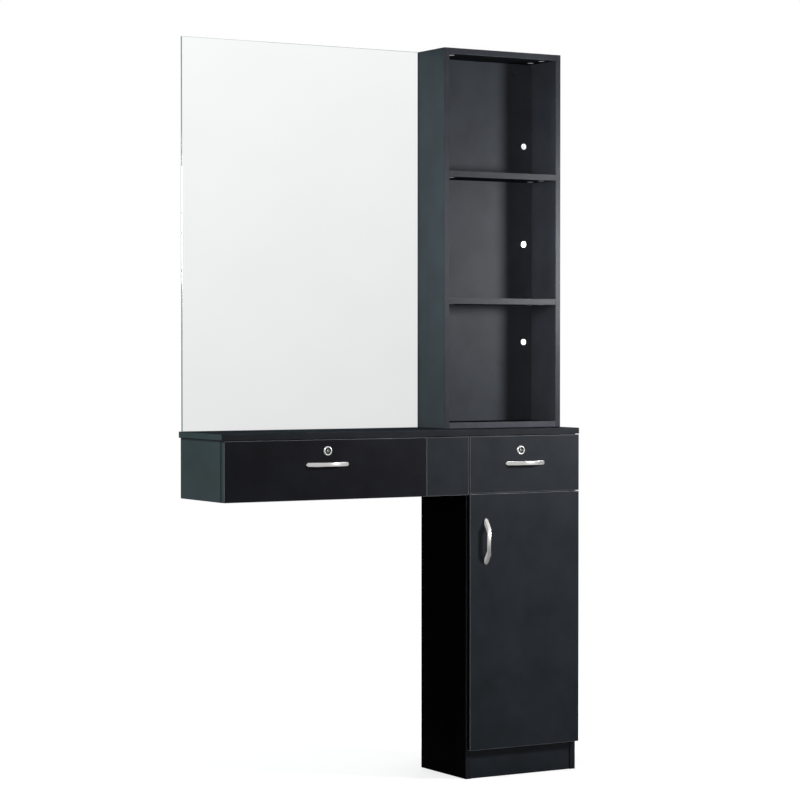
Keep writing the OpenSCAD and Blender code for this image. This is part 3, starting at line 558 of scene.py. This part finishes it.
def lockPlug(drawer):
    look, face = lockLook, lockLook["collarOutMm"] - lockLook["plugSetMm"]
    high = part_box(drawer + "_lock_plug")[1]
    tail = (lockPlace(drawer).y - high[1]) / mm
    keyway, reach, (wider, down) = look["keywayMm"], look["keywayReachMm"], look["keywayEaseMm"]
    outline = [(keyway, face - look["keywayDeepMm"], reach), (keyway, face - down, reach),
               (keyway + wider, face, reach)]
    outline += [(radius, face - depth, 0) for radius, depth in look["plugMm"]]
    outline.append((look["plugMm"][-1][0], tail + look["tailMm"], 0))
    slots = [black] + [bright] * 4 + [black] * 2 + [bright]  # the keyway and the groove are painted shade
    shape = bmesh.new()
    rings(shape, outline, slots=slots)
    square = bmesh.new()
    bmesh.ops.create_cube(square, size=look["squareMm"] * mm)
    bmesh.ops.scale(square, vec=(1, 1, look["tailMm"] / look["squareMm"]), verts=square.verts)
    bmesh.ops.translate(square, vec=(0, 0, (tail + look["tailMm"] / 2) * mm), verts=square.verts)
    join(shape, square)
    rivet = bmesh.new()
    rings(rivet, [(radius, tail + height, 0) for radius, height in look["rivetMm"]])
    join(shape, rivet)
    faceForward(shape, lockPlace(drawer))
    piece(drawer + "_lock_plug_turned", shape, ("plug", "blackened"), drawer + "_lock_plug", smoothAngle=35)


for drawer in ("desk", "cabinet"):
    lockCase(drawer)
    lockPlug(drawer)
print("stage: locks made")


# Hardware: stamped, rolled and cast parts with their corners eased, by node: finish, corner in mm, slot
hardware = {
    "hinge_arms": ("hinge", 0.35, "hinge_steel"),
    "hinge_links": ("plated", 0.3, "hinge_steel"),
    "hinge_cups": ("hinge", 0.3, "hinge_steel"),
    "desk_slide_outer": ("slide", 0.25, "slide_steel"),
    "cabinet_slide_outer": ("slide", 0.25, "slide_steel"),
    "desk_slide_middle": ("slide", 0.25, "slide_steel"),
    "cabinet_slide_middle": ("slide", 0.25, "slide_steel"),
    "desk_slide_inner": ("slide", 0.25, "slide_steel"),
    "cabinet_slide_inner": ("slide", 0.25, "slide_steel"),
    "lock_strikes": ("blackOxide", 0.3, "plated_steel"),
    "desk_lock_cam": ("plated", 0.3, "plated_steel"),
    "cabinet_lock_cam": ("plated", 0.3, "plated_steel"),
}
hardwareLook = {
    "cornerSteps": 2,
    "cornerDegrees": 40,
    "longEdgeMm": 1.0,
}
for node, (finish, corner, slotName) in hardware.items():
    shape = meshOfNode(node)
    trim(shape, sharpEdges(shape, hardwareLook["cornerDegrees"], hardwareLook["longEdgeMm"]), corner,
         hardwareLook["cornerSteps"])
    piece(node + "_eased", shape, (finish,), node, smoothAngle=40, weighted=True)


# Screws that hold the hinges: a domed head with a conical recess painted dark as shade, on the mounting
# plates and on the flanges of the cups
screwLook = {
    "headMm": 3.6,
    "headHighMm": 1.7,
    "dome": ((1.0, 0.0), (1.0, 0.35), (0.86, 0.75), (0.6, 0.95)),  # shares of the radius and of the height
    "recessMm": 2.0,
    "recessFootMm": 0.63,
    "recessDeepMm": 1.1,
}
hingeLook = {
    "centreMm": 25.0,  # of a hinge, from the end of its plate
    "plateThickMm": 2.0,
    "plateScrewsMm": 18.0,  # from the hinge's centre, up and down
    "plateBackMm": 16.0,  # from the arm's back end
    "cupScrewsMm": 24.5,  # from the hinge's centre, up and down
}


def screwHead(shape, place, turn):
    look, head = screwLook, bmesh.new()
    radius, high = look["headMm"], look["headHighMm"]
    outline = [(radius * across, high * up, 0) for across, up in look["dome"]]
    outline += [(look["recessMm"], high, 0), (look["recessFootMm"], high - look["recessDeepMm"], 0)]
    rings(head, outline, segments=24, slots=[bright] * 4 + [black])
    bmesh.ops.transform(head, matrix=Matrix.Translation(place) @ turn, verts=head.verts)
    join(shape, head)


def hingeScrews():
    low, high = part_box("hinge_arms")
    cupLow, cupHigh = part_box("hinge_cups")
    look, onPlate, onFlange = hingeLook, bmesh.new(), bmesh.new()
    inward = Matrix.Rotation(math.radians(-90), 4, "Y")
    backward = Matrix.Rotation(math.radians(-90), 4, "X")
    plateX, plateY = high[0] - look["plateThickMm"] * mm, high[1] - look["plateBackMm"] * mm
    cupX = (cupLow[0] + cupHigh[0]) / 2
    for z in (low[2] + look["centreMm"] * mm, high[2] - look["centreMm"] * mm):
        for side in (-1, 1):
            plateZ, cupZ = z + side * look["plateScrewsMm"] * mm, z + side * look["cupScrewsMm"] * mm
            screwHead(onPlate, Vector((plateX, plateY, plateZ)), inward)
            screwHead(onFlange, Vector((cupX, cupHigh[1], cupZ)), backward)
    for name, shape, node in (("hinge_plate_screws", onPlate, "hinge_arms"),
                              ("hinge_cup_screws", onFlange, "hinge_cups")):
        piece(name, shape, ("plated", "blackened"), node, smoothAngle=40,
              replacing=False)


hingeScrews()
print("stage: hardware made")


# Mirror: silvered float glass with a ground and polished edge, a clear picture and a pale green rim
mirrorLook = {
    "bevelMm": 1.0,
    "silver": ("#f7f8f8", "#fbfcfc"),
    "silverRoughness": 0.02,
    "waveMm": 160.0,
    "edge": ("#8da39c", "#9fb3ad"),
    "edgeRoughness": 0.12,
    "edgeCoat": 0.5,
    "edgeMarkMm": 3.0,
}


def silveredGlass():
    material = newMaterial("float glass, silvered")
    dark, pale = mirrorLook["silver"]
    place = addNode(material, "ShaderNodeTexCoord")
    waves = addNode(material, "ShaderNodeTexNoise",
                    {"Scale": grainScale(mirrorLook["waveMm"]), "Detail": 1.0},
                    {"Vector": (place, "Object")})
    colour = addNode(material, "ShaderNodeMixRGB",
                     {"Color1": linearColour(dark), "Color2": linearColour(pale)}, {"Fac": (waves, "Fac")})
    shader = addNode(material, "ShaderNodeBsdfPrincipled",
                     {"Metallic": 1.0, "Roughness": mirrorLook["silverRoughness"]},
                     {"Base Color": (colour, 0)})
    return finishSurface(material, shader)


def glassEdge():
    material = newMaterial("float glass edge, ground and polished")
    dark, pale = mirrorLook["edge"]
    place = addNode(material, "ShaderNodeTexCoord")
    marks = addNode(material, "ShaderNodeTexNoise",
                    {"Scale": grainScale(mirrorLook["edgeMarkMm"]), "Detail": 2.0},
                    {"Vector": (place, "Object")})
    colour = addNode(material, "ShaderNodeMixRGB",
                     {"Color1": linearColour(dark), "Color2": linearColour(pale)}, {"Fac": (marks, "Fac")})
    shader = addNode(material, "ShaderNodeBsdfPrincipled",
                     {"Roughness": mirrorLook["edgeRoughness"], "Coat Weight": mirrorLook["edgeCoat"]},
                     {"Base Color": (colour, 0)})
    return finishSurface(material, shader)


finishes["silver"] = silveredGlass()
finishes["glassEdge"] = glassEdge()


def mirrorGlass():
    shape = meshOfNode("mirror_glass")
    for f in shape.faces:
        f.material_index = 0 if f.normal.y < -squarely else 1
    front = [e for e in sharpEdges(shape, boardLook["cornerDegrees"])
             if any(f.normal.y < -squarely for f in e.link_faces)]
    for f in trim(shape, front, mirrorLook["bevelMm"], 1):
        f.material_index = 1
    piece("mirror_glass_plate", shape, ("silver", "glassEdge"), "mirror_glass")


mirrorGlass()
print("stage: mirror made")


# CAD nodes that stay as they are, each with its finish
keptNodes = {
    "shelf_pins": "plated",
    "cam_bolts": "plated",
    "tower_screws": "plated",
    "desk_pull_screws": "plated",
    "cabinet_pull_screws": "plated",
    "door_pull_screws": "plated",
}
for node, key in keptNodes.items():
    for place in nodes[node].material_slots:
        place.material = finishes[key]
    nodes[node].visible_glossy = False
print("stage: kept nodes finished,", len(keptNodes))


# Floor, light and camera

studio = {
    "floorRadius": 14.0,
    "floorWhite": 0.72,
    "floorTones": ("#b4b4b4", "#b8b8b8"),
    "floorPlain": "#8c8c8c",  # what lights the object from below
    "fleckMm": 8.0,
    "shadowReach": (1.1, 3.52),  # the floor turns plain white from the first to the second
    "worldLight": 0.1,  # on the object
    # What glossy rays see, each over a range of their direction: white in front, a little darker low down
    # and to the right, and grey behind
    "rise": (-0.04, 0.12),
    "riseGloss": (0.83, 1.0),
    "across": (0.43, 0.52),
    "acrossGloss": (0.0, -0.05),
    "behind": (-0.2, 0.3),
    "behindGloss": (1.0, 0.15),
}
white = linearColour("#ffffff")


def studioFloor():
    shape = bmesh.new()
    bmesh.ops.create_circle(shape, cap_ends=True, radius=studio["floorRadius"], segments=96)
    mesh = bpy.data.meshes.new("studio_floor")
    shape.to_mesh(mesh)
    shape.free()
    material = newMaterial("studio floor, pale card")
    place = addNode(material, "ShaderNodeTexCoord")
    reach = addNode(material, "ShaderNodeVectorMath", {"operation": "LENGTH"}, {0: (place, "Object")})
    near, far = studio["shadowReach"]
    fade = addNode(material, "ShaderNodeMapRange",
                   {"From Min": near, "From Max": far, "interpolation_type": "SMOOTHSTEP"},
                   {"Value": (reach, "Value")})
    fleck = addNode(material, "ShaderNodeTexNoise", {"Scale": grainScale(studio["fleckMm"]), "Detail": 2.0},
                    {"Vector": (place, "Object")})
    dark, pale = studio["floorTones"]
    tone = addNode(material, "ShaderNodeMixRGB",
                   {"Color1": linearColour(dark), "Color2": linearColour(pale)}, {"Fac": (fleck, "Fac")})
    card = addNode(material, "ShaderNodeBsdfDiffuse", {"Roughness": 0.8}, {"Color": (tone, 0)})
    rays = addNode(material, "ShaderNodeLightPath")
    lift = addNode(material, "ShaderNodeMath", {"operation": "MULTIPLY", 1: studio["floorWhite"]},
                   {0: (rays, "Is Camera Ray")})
    glow = addNode(material, "ShaderNodeEmission", {"Color": white}, {"Strength": (lift, 0)})
    shaded = addNode(material, "ShaderNodeAddShader", links={0: (card, 0), 1: (glow, 0)})
    clear = addNode(material, "ShaderNodeEmission", {"Color": white, "Strength": 1.0})
    shown = addNode(material, "ShaderNodeMixShader",
                    links={"Fac": (fade, 0), 1: (shaded, 0), 2: (clear, 0)})
    seen = addNode(material, "ShaderNodeMath", {"operation": "MAXIMUM"},
                   {0: (rays, "Is Camera Ray"), 1: (rays, "Is Glossy Ray")})
    seenToo = addNode(material, "ShaderNodeMath", {"operation": "MAXIMUM"},
                      {0: (seen, 0), 1: (rays, "Is Transmission Ray")})
    plain = addNode(material, "ShaderNodeBsdfDiffuse", {"Color": linearColour(studio["floorPlain"])})
    result = addNode(material, "ShaderNodeMixShader",
                     links={"Fac": (seenToo, 0), 1: (plain, 0), 2: (shown, 0)})
    addNode(material, "ShaderNodeOutputMaterial", links={"Surface": (result, 0)})
    mesh.materials.append(material)
    floor = bpy.data.objects.new("studio_floor", mesh)
    bpy.context.scene.collection.objects.link(floor)


def studioWorld():
    world = bpy.data.worlds.new("white studio")
    world.use_nodes = True
    world.node_tree.nodes.clear()
    way = addNode(world, "ShaderNodeTexCoord")
    axes = addNode(world, "ShaderNodeSeparateXYZ", links={"Vector": (way, "Generated")})
    parts = []
    for name, axis in (("rise", "Z"), ("across", "X"), ("behind", "Y")):
        (start, end), (first, last) = studio[name], studio[name + "Gloss"]
        parts.append(addNode(world, "ShaderNodeMapRange",
                             {"From Min": start, "From Max": end, "To Min": first, "To Max": last},
                             {"Value": (axes, axis)}))
    rise, across, behind = parts
    front = addNode(world, "ShaderNodeMath", {"operation": "ADD"}, {0: (rise, 0), 1: (across, 0)})
    gloss = addNode(world, "ShaderNodeMath", {"operation": "MULTIPLY"}, {0: (front, 0), 1: (behind, 0)})
    rays = addNode(world, "ShaderNodeLightPath")
    mirrored = addNode(world, "ShaderNodeMath", {"operation": "MAXIMUM"},
                       {0: (rays, "Is Glossy Ray"), 1: (rays, "Is Transmission Ray")})
    shown = addNode(world, "ShaderNodeMapRange", {"To Min": studio["worldLight"]},
                    {"Value": (mirrored, 0), "To Max": (gloss, 0)})
    level = addNode(world, "ShaderNodeMath", {"operation": "MAXIMUM"},
                    {0: (shown, 0), 1: (rays, "Is Camera Ray")})
    sky = addNode(world, "ShaderNodeBackground", {"Color": white}, {"Strength": (level, 0)})
    addNode(world, "ShaderNodeOutputWorld", links={"Surface": (sky, 0)})
    bpy.context.scene.world = world


def softbox(name, place, target, size, power, colour=(1, 1, 1), spread=180):
    light = bpy.data.lights.new(name, "AREA")
    light.shape = "DISK"
    light.size = size
    light.energy = power
    light.color = colour
    light.spread = math.radians(spread)
    lamp = bpy.data.objects.new(name, light)
    lamp.location = place
    lamp.rotation_mode = "QUATERNION"
    lamp.rotation_quaternion = (Vector(target) - Vector(place)).to_track_quat("-Z", "Y")
    bpy.context.scene.collection.objects.link(lamp)


# Lamps: where each stands and looks, its width in metres and its watts
softboxes = {
    "key softbox": {"place": (1.5, -1.25, 1.33), "target": (0.2, 0.0, 1.15), "size": 0.4, "power": 30.0},
    "side softbox": {"place": (-4.2, 0.0, 4.6), "target": (0.0, 0.0, 0.9), "size": 1.4, "power": 170.0,
                     "colour": (0.95, 0.99, 1.0)},
    "gridded softbox": {"place": (-2.2, -0.9, 1.45), "target": (0.45, 0.04, 1.35), "size": 0.5,
                        "power": 1.3, "spread": 30},
    "back softbox": {"place": (2.2, 3.2, 2.2), "target": (0.0, 0.1, 0.9), "size": 1.4, "power": 90.0},
    "top softbox": {"place": (0.0, 0.2, 4.6), "target": (0.0, 0.0, 0.9), "size": 2.4, "power": 25.0},
}
studioFloor()
studioWorld()
for name, values in softboxes.items():
    softbox(name, **values)

# The camera stands where the picture's stood, as far as the station's corners tell
cameraSet = {
    "place": (-3.1635, -5.4286, 1.0564),
    "yaw": -30.55,
    "pitch": -1.13,
    "lens": 115.7,
    "sensor": 36,
    "clipEnd": 60,
}
lensData = bpy.data.cameras.new("catalogue camera")
lensData.lens = cameraSet["lens"]
lensData.sensor_width = cameraSet["sensor"]
lensData.clip_end = cameraSet["clipEnd"]
camera = bpy.data.objects.new("catalogue camera", lensData)
camera.location = cameraSet["place"]
camera.rotation_euler = (math.radians(90 + cameraSet["pitch"]), 0, math.radians(cameraSet["yaw"]))
bpy.context.scene.collection.objects.link(camera)
bpy.context.scene.camera = camera
bpy.context.scene.view_settings.view_transform = "Standard"
print("stage: studio and camera made")
